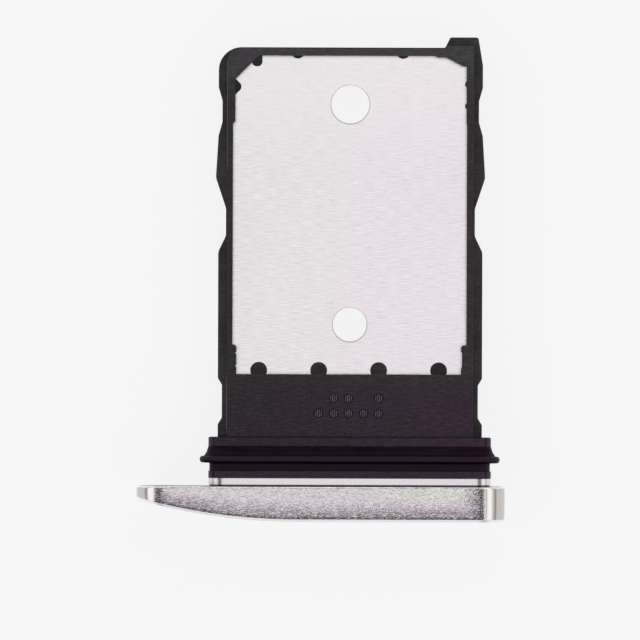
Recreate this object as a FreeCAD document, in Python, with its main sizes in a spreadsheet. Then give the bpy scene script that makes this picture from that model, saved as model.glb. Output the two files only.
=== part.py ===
import FreeCAD, Part
import math
import os
import re

import Sketcher
from FreeCAD import Vector

# SIM card tray of a phone, in millimetres.
# X runs along the end cap, Y runs from the cap into the phone, Z is up on the card side.
# The origin is on the tray's centreline, at the cap's back face and at the neck's mid-height.

# Driving dimensions
SIZES = (
    ("card_length", 12.30, "nano SIM card, along the tray"),
    ("card_width", 8.80, "nano SIM card, across the tray"),
    ("card_thickness", 0.67, "nano SIM card"),
    ("card_end_gap", 0.20, "free length in the pocket"),
    ("card_side_gap", 0.05, "gap between the card and each locating wall"),
    ("card_sink", 0.03, "how far the card lies below the rim"),
    ("rim_top", 0.50, "level of the rim and of the body's top face"),
    ("ledge_top", 0.00, "level of the wavy latch ledge"),
    ("floor_skin", 0.15, "plastic border under the plate"),
    ("side_wall", 0.39, "rim wall beside the card's near end"),
    ("pocket_shift", -0.05, "middle of the pocket from the tray's centreline"),
    ("far_wall", 0.28, "rim wall at the leading end"),
    ("rim_corner", 0.08, "rim corner radius beside the insertion tab"),
    ("rim_edge", 0.04, "chamfer of the rim's outer top edge"),
    ("rib_rise", 0.04, "how far the ribs that grip the card stand out of the locating walls"),
    ("foot_length", 0.26, "rib at the near end of each locating wall"),
    ("rib_gap", 0.03, "gap between the ramps of two ribs"),
    ("nub_start", 0.89, "rounded retaining nub at the far end of each wall, from the near wall"),
    ("nub_length", 0.26, "length of the nub"),
    ("nub_round", 0.11, "rounding of the nub's far corner"),
    ("nub_heel", 0.05, "rounding of the nub's near corner"),
    ("left_relief", 0.115, "relief of the pocket's left side past the locating wall"),
    ("right_relief", 0.165, "relief of the pocket's right side"),
    ("left_inset", 0.09, "how far the leading part of the left side stands in again"),
    ("right_inset", 0.02, "how far the leading part of the right side stands in"),
    ("inset_length", 2.68, "length of that leading part"),
    ("key_chamfer", 0.92, "card key chamfer of the pocket"),
    ("stop_step", 0.06, "depth of the shallow step beside the far right corner"),
    ("stop_length", 1.27, "distance of that step from the pocket's right wall"),
    ("stop_ramp", 0.16, "length of the ramp into the step"),
    ("stop_flat", 0.30, "flat of the step"),
    ("stop_depth", 0.34, "drop of the slanted corner wall"),
    ("stop_slant", 0.66, "width of the slanted corner wall"),
    ("plate_thickness", 0.15, "stainless steel plate"),
    ("plate_side_bite", 0.08, "how far the plate reaches under the side walls"),
    ("plate_far_bite", 0.14, "how far the plate reaches under the far wall"),
    ("plate_near_bite", 1.08, "how far the plate reaches into the body"),
    ("plate_corner", 0.25, "corner radius of the plate"),
    ("plate_hole_far_diameter", 1.50, "round hole near the leading end"),
    ("plate_hole_near_diameter", 1.33, "round hole near the body"),
    ("plate_hole_far_inset", 1.90, "far hole's centre from the pocket's far wall"),
    ("plate_hole_near_inset", 1.96, "near hole's centre from the pocket's near wall"),
    ("plate_hole_shift", 0.035, "both holes' centre from the middle of the pocket"),
    ("window_border", 0.80, "plastic left round the window in the underside"),
    ("window_corner", 0.40, "corner radius of that window"),
    ("lock_radius", 0.325, "moulding lock holes along the plate's near edge"),
    ("lock_pitch", 2.353, "spacing of the lock holes"),
    ("lock_inset", 0.145, "lock holes' centres from the pocket's near wall"),
    ("far_notch_radius", 0.27, "plastic filled notches in the plate's far edge"),
    ("far_notch_spacing", 4.13, "distance between those two notches"),
    ("far_notch_sink", 0.17, "their centres past the pocket's far wall"),
    ("key_notch_radius", 0.20, "half the width of the notch beside the key chamfer"),
    ("key_notch_corner", 0.18, "corner radius of that notch"),
    ("key_notch_inset", 0.845, "its centre from the pocket's left wall"),
    ("key_notch_drop", 0.21, "its centre from the pocket's far wall"),
    ("side_notch_rise", 0.215, "depth of the notch in the plate's left edge below the key chamfer"),
    ("side_notch_length", 0.17, "bottom of that notch"),
    ("side_notch_corner", 0.13, "corner radius of that notch"),
    ("tooth_radius", 0.15, "two small teeth at the plate's right edge"),
    ("tooth_out", 0.10, "their centres outside the pocket's right wall"),
    ("tooth_drop", 1.115, "first tooth from the pocket's far wall"),
    ("tooth_pitch", 0.845, "distance between the teeth"),
    ("ledge_step", 0.34, "how far the plain ledge stands out of the rim"),
    ("ledge_far_step", 0.04, "how far the ledge stands out of the rim's far face"),
    ("ledge_corner", 0.90, "ledge corner radius at the leading end"),
    ("dip_depth", 0.15, "shallow dip of the ledge near the leading end"),
    ("dip_inset", 2.10, "the dip's start from the ledge's far end"),
    ("dip_length", 0.83, "bottom of the dip"),
    ("dip_ramp", 0.53, "length of the dip's ramps"),
    ("crest_rise", 0.10, "how far the latch crest stands out of the plain ledge"),
    ("crest_inset", 5.12, "the crest from the ledge's far end"),
    ("waist_depth", 0.30, "depth of the latch waist"),
    ("waist_drop", 1.20, "length of the ramp from the crest into the waist"),
    ("waist_length", 1.08, "bottom of the waist"),
    ("waist_ramp", 0.62, "length of the ramp out of the waist"),
    ("latch_round", 0.45, "rounding of the latch waist"),
    ("notch_depth", 0.16, "depth of the notch in each side of the body"),
    ("notch_start", 0.75, "the notch from the flange"),
    ("notch_length", 1.29, "bottom of the notch"),
    ("notch_ramp", 0.26, "length of the notch's ramps"),
    ("ledge_round", 0.10, "rounding of the small ledge corners"),
    ("tab_reach", 0.41, "insertion tab past the ledge's far end"),
    ("tab_width", 1.10, "insertion tab at its tip"),
    ("tab_slope", 0.20, "run of the tab's slanted left side"),
    ("tab_seat", 0.12, "how far the rim reaches onto the tab"),
    ("tab_taper", 0.18, "run of the tab's tapered right side"),
    ("tab_taper_length", 1.11, "length of the tab's tapered right side"),
    ("body_length", 2.46, "closed body between the flange and the pocket"),
    ("dimple_diameter", 0.38, "mould dimples in the body's top face"),
    ("dimple_depth", 0.05, "depth of the dimples"),
    ("dimple_pitch", 0.588, "spacing of the dimples"),
    ("dimple_inset", 0.935, "first dimple row from the flange"),
    ("neck_height", 1.17, "height of the neck, the flanges and the sealed core"),
    ("flange_step", 0.36, "how far the neck is wider than the plain ledge, each side"),
    ("flange_edge", 0.04, "chamfer of the flange's far edge"),
    ("neck_length", 0.34, "bare metal neck behind the cap"),
    ("relief_width", 0.05, "relief groove at the neck's root"),
    ("relief_depth", 0.04, "depth of that groove"),
    ("near_flange", 0.25, "flange between the neck and the seal"),
    ("far_flange", 0.35, "flange between the seal and the body"),
    ("seal_width", 0.98, "seal, along the tray"),
    ("groove_depth", 0.28, "depth of the seal's groove"),
    ("seal_slope", 0.11, "rise of the seal's sloping shoulder"),
    ("seal_sink", 0.04, "how far the seal's near band lies below the flange"),
    ("blade_reach", 0.35, "how far the sealing lip stands out of the flange"),
    ("blade_thickness", 0.26, "thickness of the lip"),
    ("blade_inset", 0.32, "the lip from the seal's near side"),
    ("blade_round", 0.11, "rounding of the lip"),
    ("cap_thickness", 1.39, "end cap, outer face to back face"),
    ("cap_ear_thickness", 0.53, "thickness at the end of the ear"),
    ("cap_overhang", 0.55, "how far the cap stands out of the neck"),
    ("cap_ear", 2.82, "length of the ear with the pinhole"),
    ("cap_flat_start", 2.10, "where the curve of the outer face ends, left of centre"),
    ("cap_front_edge", 0.10, "polished chamfer round the outer face"),
    ("cap_back_edge", 0.08, "chamfer of the back face's edge"),
    ("pinhole_diameter", 1.04, "eject pinhole"),
    ("pinhole_offset", 1.79, "pinhole's centre from the neck's left end"),
    ("pinhole_chamfer", 0.06, "chamfer of the pinhole's mouth"),
    ("tongue_width", 8.60, "tongue that anchors the cap in the moulding"),
    ("tongue_thickness", 0.40, "thickness of the tongue"),
    ("tongue_gap", 0.30, "plastic between the tongue and the plate"),
    ("anchor_diameter", 0.80, "holes through the tongue, filled by the moulding"),
    ("anchor_pitch", 2.90, "spacing of those holes"),
    ("anchor_inset", 0.70, "their centres from the tongue's end"),
)

# Places that follow from the driving dimensions
PLACES = (
    ("seal_near", "neck_length + near_flange"),
    ("seal_far", "seal_near + seal_width"),
    ("flange_far", "seal_far + far_flange"),
    ("pocket_near", "flange_far + body_length"),
    ("pocket_far", "pocket_near + card_length + card_end_gap"),
    ("rim_far", "pocket_far + far_wall"),
    ("ledge_far", "rim_far + ledge_far_step"),
    ("locating_left", "card_width / 2 + card_side_gap - pocket_shift"),
    ("locating_right", "card_width / 2 + card_side_gap + pocket_shift"),
    ("pocket_left", "locating_left + left_relief"),
    ("pocket_right", "locating_right + right_relief"),
    ("far_left", "pocket_left - left_inset"),
    ("far_right", "pocket_right - right_inset"),
    ("inset_start", "pocket_far - inset_length"),
    ("rim_half", "card_width / 2 + card_side_gap + side_wall"),
    ("ledge_half", "rim_half + ledge_step"),
    ("neck_half", "ledge_half + flange_step"),
    ("plate_top", "rim_top - card_thickness - card_sink"),
    ("plate_bottom", "plate_top - plate_thickness"),
    ("frame_bottom", "plate_bottom - floor_skin"),
    ("plate_near", "pocket_near - plate_near_bite"),
    ("cap_left", "neck_half + cap_ear"),
    ("cap_right", "neck_half + cap_overhang"),
)

HAIR = 0.001  # how near to a level an edge counts as lying on it


def make_sheet(doc):
    """Write the driving dimensions and the places that follow from them."""
    sheet = doc.addObject("Spreadsheet::Sheet", "Dims")
    row = 1
    for name, value, note in SIZES:
        sheet.set(f"A{row}", name)
        sheet.set(f"B{row}", str(value))
        sheet.set(f"C{row}", note)
        sheet.setAlias(f"B{row}", name)
        row += 1
    for name, formula in PLACES:
        sheet.set(f"A{row}", name)
        sheet.set(f"B{row}", f"={formula}")
        sheet.setAlias(f"B{row}", name)
        row += 1
    doc.recompute()
    return sheet


def dims(formula):
    """Point every name in a formula at the sheet, so that it can be bound to a property."""
    return re.sub(r"[a-z][a-z_]*", r"Dims.\g<0>", formula)


def size(doc, formula):
    """The value of a formula, in millimetres."""
    return float(doc.getObject("Dims").evalExpression(dims(formula)))


def origin_plane(body, role):
    """One of a body's own origin planes."""
    return next(item for item in body.Origin.OriginFeatures if item.Role == role)


def sketch_on(body, role, name, level="0"):
    """A sketch on one of a body's origin planes, moved along the plane's normal."""
    sketch = body.newObject("Sketcher::SketchObject", name)
    sketch.AttachmentSupport = [(origin_plane(body, role), "")]
    sketch.MapMode = "FlatFace"
    if level != "0":
        sketch.setExpression("AttachmentOffset.Base.z", dims(level))
    return sketch


def constrain(sketch, rules):
    """Add constraints in one go.

    A rule is a constraint, with the formula that its value follows if it has one.
    """
    places = sketch.addConstraint([rule[0] for rule in rules])
    for place, rule in zip(places, rules):
        if len(rule) > 1:
            sketch.setExpression(f"Constraints[{place}]", dims(rule[1]))


def held(sketch, part, end, across, along):
    """The rules that hold a point at its distances from the sketch's axes."""
    rules = []
    for kind, formula, axis in (("DistanceX", across, -2), ("DistanceY", along, -1)):
        if formula == "0":
            rules.append((Sketcher.Constraint("PointOnObject", part, end, axis),))
        else:
            value = size(sketch.Document, formula)
            rules.append((Sketcher.Constraint(kind, -1, 1, part, end, value), formula))
    return rules


def add_circle(sketch, across, along, radius):
    """A circle held by its centre and its radius."""
    doc = sketch.Document
    centre = Vector(size(doc, across), size(doc, along), 0)
    value = size(doc, radius)
    circle = sketch.addGeometry(Part.Circle(centre, Vector(0, 0, 1), value), False)
    rules = [(Sketcher.Constraint("Radius", circle, value), radius)]
    constrain(sketch, rules + held(sketch, circle, 3, across, along))


def add_arc(sketch, centre, radius, start, end):
    """An arc from one angle to another, counterclockwise."""
    circle = Part.Circle(centre, Vector(0, 0, 1), radius)
    return sketch.addGeometry(Part.ArcOfCircle(circle, start, end), False)


def add_line(sketch, start, end):
    """A straight line between two points."""
    return sketch.addGeometry(Part.LineSegment(start, end), False)


def add_stadium(sketch, half_width, half_height):
    """Two half circles joined by straight lines, centred on the sketch's origin."""
    add_bar(sketch, f"-{half_width}", half_width, half_height)


def add_bar(sketch, left, right, half_height):
    """Two half circles joined by straight lines, lying along the sketch's first axis."""
    doc = sketch.Document
    radius = size(doc, half_height)
    centres = (f"{left} + {half_height}", f"{right} - {half_height}")
    low, high = (Vector(size(doc, item), 0, 0) for item in centres)
    up = Vector(0, radius, 0)
    left_arc = add_arc(sketch, low, radius, math.pi / 2, 3 * math.pi / 2)
    right_arc = add_arc(sketch, high, radius, -math.pi / 2, math.pi / 2)
    bottom = add_line(sketch, low - up, high - up)
    top = add_line(sketch, high + up, low + up)
    rules = [
        (Sketcher.Constraint("Tangent", left_arc, 2, bottom, 1),),
        (Sketcher.Constraint("Tangent", bottom, 2, right_arc, 1),),
        (Sketcher.Constraint("Tangent", right_arc, 2, top, 1),),
        (Sketcher.Constraint("Tangent", top, 2, left_arc, 1),),
    ]
    for arc, centre in ((left_arc, centres[0]), (right_arc, centres[1])):
        rules += held(sketch, arc, 3, centre, "0")
        rules.append((Sketcher.Constraint("Radius", arc, radius), half_height))
    constrain(sketch, rules)


def add_outline(sketch, corners):
    """A closed outline of straight runs, counterclockwise.

    A corner is its two distances from the sketch's axes, and a rounded corner has a radius too.
    A rounded corner is an arc tangent to both runs, and a construction point marks where they meet.
    """
    doc = sketch.Document
    points = [Vector(size(doc, item[0]), size(doc, item[1]), 0) for item in corners]
    radii = [size(doc, item[2]) if len(item) > 2 else 0 for item in corners]
    count = len(points)
    ways = [(points[(i + 1) % count] - points[i]).normalize() for i in range(count)]
    setbacks = [radii[i] * math.tan(ways[i - 1].getAngle(ways[i]) / 2) for i in range(count)]
    runs = []
    for i in range(count):
        start = points[i] + ways[i] * setbacks[i]
        end = points[(i + 1) % count] - ways[i] * setbacks[(i + 1) % count]
        runs.append(add_line(sketch, start, end))
    rules = []
    for i, corner in enumerate(corners):
        before, after = runs[i - 1], runs[i]
        if not radii[i]:
            rules.append((Sketcher.Constraint("Coincident", before, 2, after, 1),))
            rules += held(sketch, after, 1, corner[0], corner[1])
            continue
        turns_left = ways[i - 1].cross(ways[i]).z > 0
        inward = Vector(-ways[i - 1].y, ways[i - 1].x, 0) * (1 if turns_left else -1)
        entry = points[i] - ways[i - 1] * setbacks[i]
        leave = points[i] + ways[i] * setbacks[i]
        centre = entry + inward * radii[i]
        first, last = (entry, leave) if turns_left else (leave, entry)
        start = math.atan2(first.y - centre.y, first.x - centre.x)
        end = math.atan2(last.y - centre.y, last.x - centre.x)
        end += 2 * math.pi if end < start else 0
        arc = add_arc(sketch, centre, radii[i], start, end)
        entry_end, leave_end = (1, 2) if turns_left else (2, 1)
        mark = sketch.addGeometry(Part.Point(points[i]), True)
        rules += [
            (Sketcher.Constraint("Tangent", before, 2, arc, entry_end),),
            (Sketcher.Constraint("Tangent", arc, leave_end, after, 1),),
            (Sketcher.Constraint("PointOnObject", mark, 1, before),),
            (Sketcher.Constraint("PointOnObject", mark, 1, after),),
            (Sketcher.Constraint("Radius", arc, radii[i]), corner[2]),
        ]
        rules += held(sketch, mark, 1, corner[0], corner[1])
    constrain(sketch, rules)


def pad(body, sketch, name, length, reverse=False):
    """Pad a sketch by a bound length."""
    feature = body.newObject("PartDesign::Pad", name)
    feature.Profile = sketch
    feature.Reversed = reverse
    feature.setExpression("Length", dims(length))
    body.Document.recompute()
    return feature


def cut(body, sketch, name, length=None, reverse=False):
    """Pocket a sketch by a bound length, or right through both ways, and see that it removes material."""
    before = body.Shape.Volume
    feature = body.newObject("PartDesign::Pocket", name)
    feature.Profile = sketch
    feature.Reversed = reverse
    if length is None:
        feature.Type = "ThroughAll"
        feature.Midplane = True
    else:
        feature.setExpression("Length", dims(length))
    body.Document.recompute()
    if not body.Shape.Volume < before:
        raise RuntimeError(f"{name} removes nothing")
    return feature


def edges_where(shape, test):
    """The names of a shape's edges that pass a test on their vertices and middle."""
    found = []
    for index, edge in enumerate(shape.Edges, 1):
        middle = edge.valueAt((edge.FirstParameter + edge.LastParameter) / 2)
        if all(test(point) for point in [middle] + [v.Point for v in edge.Vertexes]):
            found.append(f"Edge{index}")
    return found


def dress(body, kind, name, edges, amount):
    """Fillet or chamfer named edges of a body's last feature by a bound size."""
    base = body.Tip
    feature = body.newObject(f"PartDesign::{kind}", name)
    feature.Base = (base, edges)
    feature.setExpression("Radius" if kind == "Fillet" else "Size", dims(amount))
    body.Document.recompute()
    return feature


def near(value, level):
    """Whether a coordinate lies on a level."""
    return abs(value - level) < HAIR


def build_end_cap(doc):
    """Aluminium end cap with its pinhole, its neck and the tongue that anchors it."""
    body = doc.addObject("PartDesign::Body", "end_cap")
    body.Label = "end_cap"
    half_height = "(neck_height / 2 + cap_overhang)"

    face = sketch_on(body, "XZ_Plane", "cap_face")
    add_bar(face, "-cap_left", "cap_right", half_height)
    pad(body, face, "cap_bar", "cap_thickness")

    # The outer face follows the phone: flat in the middle, one large arc along the ear.
    curve = sketch_on(body, "XY_Plane", "cap_curve")
    run = "(cap_left - cap_flat_start)"
    fall = "(cap_thickness - cap_ear_thickness)"
    arc_radius = f"(({run} * {run} + {fall} * {fall}) / (2 * {fall}))"
    radius = size(doc, arc_radius)
    centre = Vector(-size(doc, "cap_flat_start"), radius - size(doc, "cap_thickness"), 0)
    end = Vector(-size(doc, "cap_left"), -size(doc, "cap_ear_thickness"), 0)
    first_angle = math.atan2(end.y - centre.y, end.x - centre.x) + 2 * math.pi
    arc = add_arc(curve, centre, radius, first_angle, 3 * math.pi / 2)
    low = Vector(centre.x, -2 * size(doc, "cap_thickness"), 0)
    out = Vector(-size(doc, "cap_left"), low.y, 0)
    tangent_point = Vector(centre.x, -size(doc, "cap_thickness"), 0)
    drop = add_line(curve, tangent_point, low)
    base = add_line(curve, low, out)
    rise = add_line(curve, out, end)
    rules = [
        (Sketcher.Constraint("Coincident", first, 2, last, 1),)
        for first, last in ((arc, drop), (drop, base), (base, rise), (rise, arc))
    ]
    rules += held(curve, arc, 2, "-cap_flat_start", "-cap_thickness")
    rules += held(curve, arc, 1, "-cap_left", "-cap_ear_thickness")
    rules += held(curve, drop, 2, "-cap_flat_start", "-2 * cap_thickness")
    rules += held(curve, base, 2, "-cap_left", "-2 * cap_thickness")
    rules.append((Sketcher.Constraint("Radius", arc, radius), arc_radius))
    constrain(curve, rules)
    cut(body, curve, "cap_outer_curve")

    thick = size(doc, "cap_thickness")
    back = edges_where(body.Shape, lambda p: near(p.y, 0))
    dress(body, "Chamfer", "cap_back_chamfer", back, "cap_back_edge")

    def on_outer_face(p):
        on_flat = near(p.y, -thick) and p.x > centre.x - HAIR
        on_curve = p.x < centre.x + HAIR and near((Vector(p.x, p.y, 0) - centre).Length, radius)
        return on_flat or on_curve

    left_round = -size(doc, f"cap_left - {half_height}")
    right_round = size(doc, f"cap_right - {half_height}")

    def on_rim(p):
        on_side = abs(p.z) > size(doc, half_height) - HAIR
        on_end = p.x < left_round or p.x > right_round
        return on_outer_face(p) and (on_side or on_end)

    dress(body, "Chamfer", "cap_front_chamfer", edges_where(body.Shape, on_rim), "cap_front_edge")

    hole = sketch_on(body, "XZ_Plane", "pinhole_outline")
    add_circle(hole, "-(neck_half + pinhole_offset)", "0", "pinhole_diameter / 2")
    cut(body, hole, "pinhole")
    hole_axis = -size(doc, "neck_half + pinhole_offset")
    hole_radius = size(doc, "pinhole_diameter / 2")

    def on_mouth(p):
        return near(math.hypot(p.x - hole_axis, p.z), hole_radius) and p.y < -HAIR

    mouth = [
        name
        for name in edges_where(body.Shape, on_mouth)
        if body.Shape.getElement(name).Length > hole_radius
        and not body.Shape.getElement(name).Curve.TypeId == "Part::GeomLine"
    ]
    dress(body, "Chamfer", "pinhole_mouth", mouth, "pinhole_chamfer")

    neck = sketch_on(body, "XZ_Plane", "neck_outline")
    add_stadium(neck, "neck_half", "(neck_height / 2)")
    pad(body, neck, "neck", "neck_length", reverse=True)

    relief = sketch_on(body, "XZ_Plane", "relief_outline")
    add_stadium(relief, "(neck_half + relief_depth)", "(neck_height / 2 + relief_depth)")
    add_stadium(relief, "(neck_half - relief_depth)", "(neck_height / 2 - relief_depth)")
    cut(body, relief, "neck_relief", "relief_width")

    tongue = sketch_on(body, "XZ_Plane", "tongue_outline", "-neck_length")
    add_outline(
        tongue,
        (
            ("-tongue_width / 2", "-tongue_thickness / 2"),
            ("tongue_width / 2", "-tongue_thickness / 2"),
            ("tongue_width / 2", "tongue_thickness / 2"),
            ("-tongue_width / 2", "tongue_thickness / 2"),
        ),
    )
    pad(body, tongue, "tongue", "plate_near - tongue_gap - neck_length", reverse=True)

    anchors = sketch_on(body, "XY_Plane", "anchor_outlines")
    for place in ("-anchor_pitch", "0", "anchor_pitch"):
        add_circle(anchors, place, "plate_near - tongue_gap - anchor_inset", "anchor_diameter / 2")
    cut(body, anchors, "anchor_holes")
    return body


def build_card_plate(doc):
    """Thin stainless plate that carries the card, held in the moulding by its edges."""
    body = doc.addObject("PartDesign::Body", "card_plate")
    body.Label = "card_plate"
    left = "-(pocket_left + plate_side_bite)"
    right = "pocket_right + plate_side_bite"
    far = "pocket_far + plate_far_bite"
    key = "key_chamfer"

    outline = sketch_on(body, "XY_Plane", "plate_outline", "plate_bottom")
    add_outline(
        outline,
        (
            (left, "plate_near", "plate_corner"),
            (right, "plate_near", "plate_corner"),
            (right, far, "plate_corner"),
            (f"{left} + {key}", far),
            (left, f"{far} - {key}"),
        ),
    )
    pad(body, outline, "plate_sheet", "plate_thickness")

    holes = sketch_on(body, "XY_Plane", "plate_hole_outlines", "plate_bottom")
    middle = "pocket_shift + plate_hole_shift"
    add_circle(holes, middle, "pocket_far - plate_hole_far_inset", "plate_hole_far_diameter / 2")
    add_circle(holes, middle, "pocket_near + plate_hole_near_inset", "plate_hole_near_diameter / 2")
    cut(body, holes, "plate_holes")

    locks = sketch_on(body, "XY_Plane", "lock_outlines", "plate_bottom")
    for step in ("-1.5", "-0.5", "0.5", "1.5"):
        add_circle(locks, f"pocket_shift + {step} * lock_pitch", "pocket_near + lock_inset", "lock_radius")
    cut(body, locks, "lock_holes")

    notches = sketch_on(body, "XY_Plane", "edge_notch_outlines", "plate_bottom")
    for step in ("-0.5", "0.5"):
        across = f"{middle} + {step} * far_notch_spacing"
        add_circle(notches, across, "pocket_far + far_notch_sink", "far_notch_radius")
    for step in ("0", "1"):
        along = f"pocket_far - tooth_drop - {step} * tooth_pitch"
        add_circle(notches, "far_right + tooth_out", along, "tooth_radius")
    cut(body, notches, "edge_notches")

    # The left edge's notch starts where the key chamfer ends, and both its ramps lie at 45 degrees.
    side_notch = sketch_on(body, "XY_Plane", "side_notch_outline", "plate_bottom")
    bottom = "-far_left + side_notch_rise"
    high = "pocket_far - key_chamfer - side_notch_rise"
    low = f"{high} - side_notch_length"
    outside = "-far_left - (left_inset + 2 * plate_side_bite)"
    ramp = "(side_notch_rise + left_inset + 2 * plate_side_bite)"
    add_outline(
        side_notch,
        (
            (outside, f"{low} - {ramp}"),
            (bottom, low, "side_notch_corner"),
            (bottom, high, "side_notch_corner"),
            (outside, f"{high} + {ramp}"),
        ),
    )
    cut(body, side_notch, "side_notch")

    key_notch = sketch_on(body, "XY_Plane", "key_notch_outline", "plate_bottom")
    notch_left = "-(far_left - key_notch_inset) - key_notch_radius"
    notch_right = "-(far_left - key_notch_inset) + key_notch_radius"
    reach = f"{far} + key_notch_radius"
    notch_bottom = "pocket_far - key_notch_drop - key_notch_radius"
    add_outline(
        key_notch,
        (
            (notch_left, notch_bottom, "key_notch_corner"),
            (notch_right, notch_bottom, "key_notch_corner"),
            (notch_right, reach),
            (notch_left, reach),
        ),
    )
    cut(body, key_notch, "key_notch")
    return body


def ledge_side(sign):
    """The corners of one long side of the latch ledge, from the flange to the leading end."""
    waist_far = "ledge_far - crest_inset - waist_drop"
    waist_near = f"{waist_far} - waist_length"
    dip_near = "ledge_far - dip_inset - dip_length"
    notch_far = "flange_far + notch_start + notch_length"
    stations = (
        ("ledge_half", "seal_far"),
        ("ledge_half", "flange_far + notch_start - notch_ramp", "ledge_round"),
        ("ledge_half - notch_depth", "flange_far + notch_start", "ledge_round"),
        ("ledge_half - notch_depth", notch_far, "ledge_round"),
        ("ledge_half", f"{notch_far} + notch_ramp", "ledge_round"),
        ("ledge_half", f"{waist_near} - waist_ramp", "latch_round"),
        ("ledge_half - waist_depth", waist_near, "latch_round"),
        ("ledge_half - waist_depth", waist_far, "latch_round"),
        ("ledge_half + crest_rise", "ledge_far - crest_inset", "latch_round"),
        ("ledge_half", f"{dip_near} - dip_ramp", "ledge_round"),
        ("ledge_half - dip_depth", dip_near, "ledge_round"),
        ("ledge_half - dip_depth", "ledge_far - dip_inset", "ledge_round"),
        ("ledge_half", "ledge_far - dip_inset + dip_ramp", "ledge_round"),
    )
    return [(f"{sign}({item[0]})", *item[1:]) for item in stations]


def pocket_side(sign, side):
    """The corners of one long side of the card pocket, from the body to the leading part."""
    wall = f"locating_{side}"
    rib = f"{wall} - rib_rise"
    nub_far = "pocket_near + nub_start + nub_length"
    foot_far = "pocket_near + foot_length + rib_rise"
    nub_near = "pocket_near + nub_start - rib_rise"
    foot = [
        (rib, "pocket_near"),
        (rib, f"{foot_far} - rib_rise"),
        (wall, foot_far),
    ]
    middle_rib = [
        (wall, f"{foot_far} + rib_gap"),
        (rib, f"{foot_far} + rib_gap + rib_rise"),
        (rib, f"{nub_near} - rib_gap - rib_rise"),
        (wall, f"{nub_near} - rib_gap"),
    ]
    rest = [
        (wall, nub_near),
        (rib, "pocket_near + nub_start", "nub_heel"),
        (rib, nub_far, "nub_round"),
        (f"pocket_{side}", nub_far),
        (f"pocket_{side}", "inset_start"),
        (f"far_{side}", f"inset_start + {side}_inset"),
    ]
    stations = foot + (middle_rib if side == "left" else []) + rest
    return [(f"{sign}({item[0]})", *item[1:]) for item in stations]


def build_moulding(doc):
    """The black moulding before the plate and the cap's tongue are taken out of it."""
    body = doc.addObject("PartDesign::Body", "moulding")

    flange = sketch_on(body, "XZ_Plane", "flange_outline", "-neck_length")
    add_stadium(flange, "neck_half", "(neck_height / 2)")
    pad(body, flange, "flange", "flange_far - neck_length", reverse=True)
    flange_far = size(doc, "flange_far")
    far_edges = edges_where(body.Shape, lambda p: near(p.y, flange_far))
    dress(body, "Chamfer", "flange_chamfer", far_edges, "flange_edge")

    ledge = sketch_on(body, "XY_Plane", "ledge_outline", "frame_bottom")
    tab_right = "ledge_half - tab_taper"
    tab_left = f"{tab_right} - tab_width"
    tab = [
        ("ledge_half", "ledge_far + tab_reach - tab_taper_length", "latch_round"),
        (tab_right, "ledge_far + tab_reach", "ledge_round"),
        (tab_left, "ledge_far + tab_reach", "ledge_round"),
        (f"{tab_left} - tab_slope", "ledge_far", "ledge_round"),
        ("-ledge_half", "ledge_far", "ledge_corner"),
    ]
    left = ledge_side("-")
    add_outline(ledge, ledge_side("") + tab + left[::-1])
    pad(body, ledge, "ledge", "ledge_top - frame_bottom")

    rim = sketch_on(body, "XY_Plane", "rim_outline", "frame_bottom")
    seat_left = f"{tab_left} - tab_slope"
    add_outline(
        rim,
        (
            ("-rim_half", "seal_far"),
            ("rim_half", "seal_far"),
            ("rim_half", "rim_far + tab_seat", "rim_corner"),
            (f"{seat_left} + tab_seat", "rim_far + tab_seat"),
            (seat_left, "rim_far"),
            ("-rim_half", "rim_far", "ledge_corner - ledge_step - ledge_far_step"),
        ),
    )
    pad(body, rim, "rim", "rim_top - frame_bottom")

    rim_top = size(doc, "rim_top")
    top_edges = edges_where(body.Shape, lambda p: near(p.z, rim_top) and p.y > flange_far - HAIR)
    buried = edges_where(body.Shape, lambda p: near(p.y, flange_far))
    free = [name for name in top_edges if name not in buried]
    dress(body, "Chamfer", "rim_chamfer", free, "rim_edge")

    groove = sketch_on(body, "XZ_Plane", "groove_outline", "-seal_near")
    add_stadium(groove, "(neck_half + groove_depth)", "(neck_height / 2 + groove_depth)")
    add_stadium(groove, "(neck_half - groove_depth)", "(neck_height / 2 - groove_depth)")
    cut(body, groove, "seal_groove", "seal_width")

    pocket = sketch_on(body, "XY_Plane", "pocket_outline", "plate_top")
    stop_start = "far_right - stop_length"
    slant_start = f"{stop_start} + stop_ramp + stop_flat"
    add_outline(
        pocket,
        pocket_side("", "right")
        + [
            ("far_right", "pocket_far - stop_step - stop_depth"),
            (f"{slant_start} + stop_slant", "pocket_far - stop_step - stop_depth"),
            (slant_start, "pocket_far - stop_step"),
            (f"{stop_start} + stop_ramp", "pocket_far - stop_step"),
            (stop_start, "pocket_far"),
            ("-far_left + key_chamfer", "pocket_far"),
            ("-far_left", "pocket_far - key_chamfer"),
        ]
        + pocket_side("-", "left")[::-1],
    )
    cut(body, pocket, "card_pocket", "rim_top - plate_top", reverse=True)

    window = sketch_on(body, "XY_Plane", "window_outline", "frame_bottom")
    window_left = "-(far_left - window_border)"
    window_right = "far_right - window_border"
    add_outline(
        window,
        (
            (window_left, "pocket_near + window_border", "window_corner"),
            (window_right, "pocket_near + window_border", "window_corner"),
            (window_right, "pocket_far - window_border", "window_corner"),
            (window_left, "pocket_far - window_border", "window_corner"),
        ),
    )
    cut(body, window, "underside_window", "plate_top - frame_bottom", reverse=True)

    dimples = sketch_on(body, "XY_Plane", "dimple_outlines", "rim_top")
    rows = (("0", ("-2", "-1", "0", "1", "2")), ("1", ("-1", "0", "2")))
    for row, columns in rows:
        for column in columns:
            along = f"flange_far + dimple_inset + {row} * dimple_pitch"
            add_circle(dimples, f"pocket_shift + {column} * dimple_pitch", along, "dimple_diameter / 2")
    cut(body, dimples, "mould_dimples", "dimple_depth")
    return body


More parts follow.
